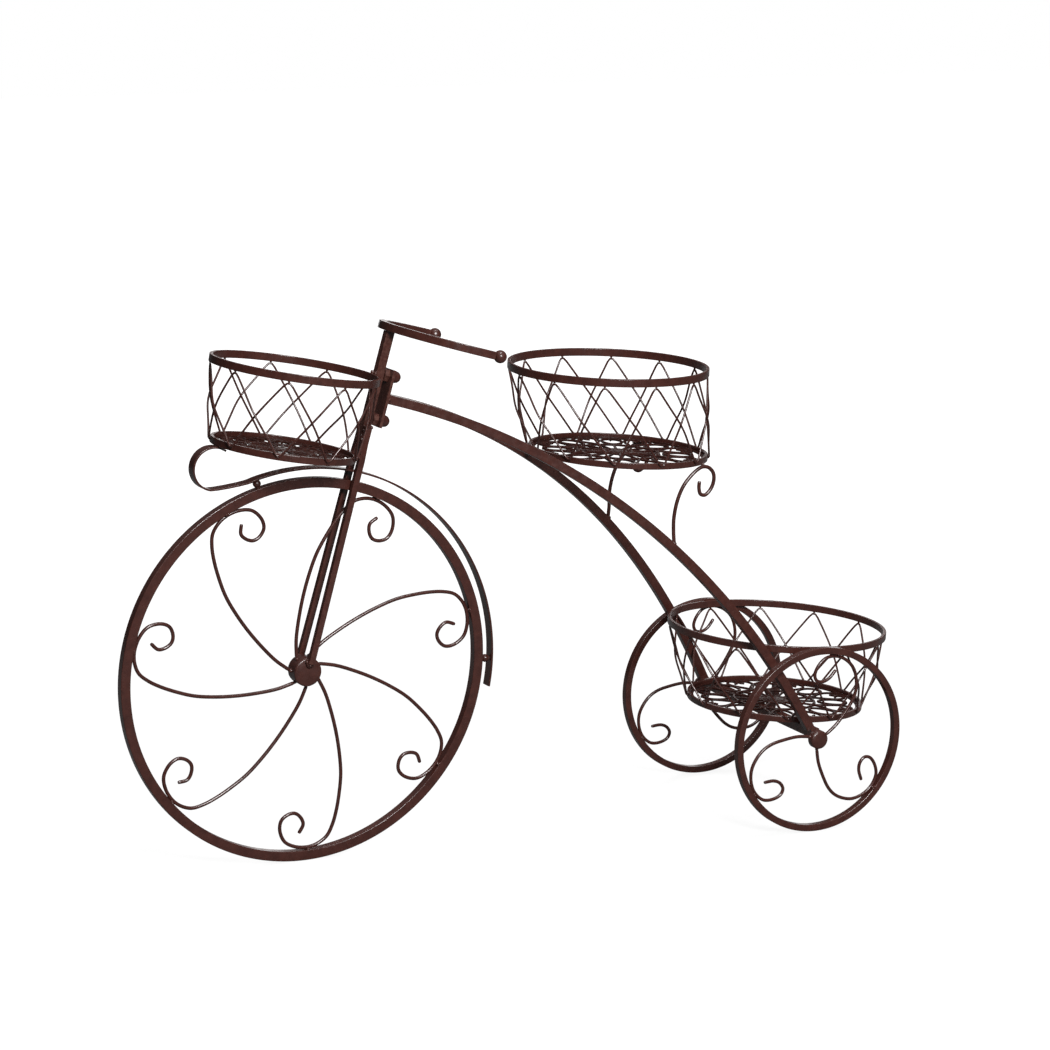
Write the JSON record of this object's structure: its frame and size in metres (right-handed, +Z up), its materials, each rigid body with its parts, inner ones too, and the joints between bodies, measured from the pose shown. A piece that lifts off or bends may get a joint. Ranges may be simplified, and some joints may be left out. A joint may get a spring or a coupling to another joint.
{
  "type": "bicycle planter",
  "caption": "Painted iron tricycle plant stand with a large scroll-spoked front wheel, small rear wheels and open wire-lattice baskets with rosette floors.",
  "frame": {"origin": "bottom centre of the bounding box, on the ground between the wheels", "axes": "+X to the rear, +Y to the right-hand side, +Z up; the front wheel is at -X"},
  "size_m": [0.8764, 0.2576, 0.5528],
  "materials": {
    "painted_iron": "semi-gloss dark brown paint",
    "painted_casting": "semi-gloss dark brown paint on a cast grille",
    "painted_bolts": "semi-gloss dark brown paint on nuts and bolts"
  },
  "bodies": {
    "root": {"front_rim": "painted_iron", "front_hub": "painted_iron", "front_spoke_1": "painted_iron", "front_spoke_2": "painted_iron", "front_spoke_3": "painted_iron", "front_spoke_4": "painted_iron", "front_spoke_5": "painted_iron", "front_spoke_6": "painted_iron", "front_spoke_7": "painted_iron", "rear_rim_left": "painted_iron", "rear_hub_left": "painted_iron", "rear_spoke_left_1": "painted_iron", "rear_spoke_left_2": "painted_iron", "rear_spoke_left_3": "painted_iron", "rear_rim_right": "painted_iron", "rear_hub_right": "painted_iron", "rear_spoke_right_1": "painted_iron", "rear_spoke_right_2": "painted_iron", "rear_spoke_right_3": "painted_iron", "fork_leg_left": "painted_iron", "fork_leg_right": "painted_iron", "stem": "painted_iron", "handlebar": "painted_iron", "handlebar_ball_left": "painted_iron", "handlebar_ball_right": "painted_iron", "head_plate": "painted_iron", "head_bolt_upper": "painted_bolts", "head_bolt_lower": "painted_bolts", "head_spacer_nut_upper": "painted_bolts", "head_spacer_nut_lower": "painted_bolts", "head_cap_nut_upper": "painted_bolts", "head_cap_nut_lower": "painted_bolts", "fender": "painted_iron", "fender_post_front": "painted_iron", "fender_post_rear": "painted_iron", "frame_tube_left": "painted_iron", "frame_tube_right": "painted_iron", "rear_axle": "painted_iron", "front_top_ring": "painted_iron", "front_bottom_ring": "painted_iron", "front_lattice": "painted_iron", "front_floor": "painted_casting", "mid_top_ring": "painted_iron", "mid_bottom_ring": "painted_iron", "mid_lattice_a": "painted_iron", "mid_lattice_b": "painted_iron", "mid_floor": "painted_casting", "rear_top_ring": "painted_iron", "rear_bottom_ring": "painted_iron", "rear_lattice_a": "painted_iron", "rear_lattice_b": "painted_iron", "rear_floor": "painted_casting", "front_basket_link_left": "painted_iron", "front_basket_link_right": "painted_iron", "mid_support_scroll_left": "painted_iron", "mid_support_scroll_right": "painted_iron"}
  },
  "joints": []
}
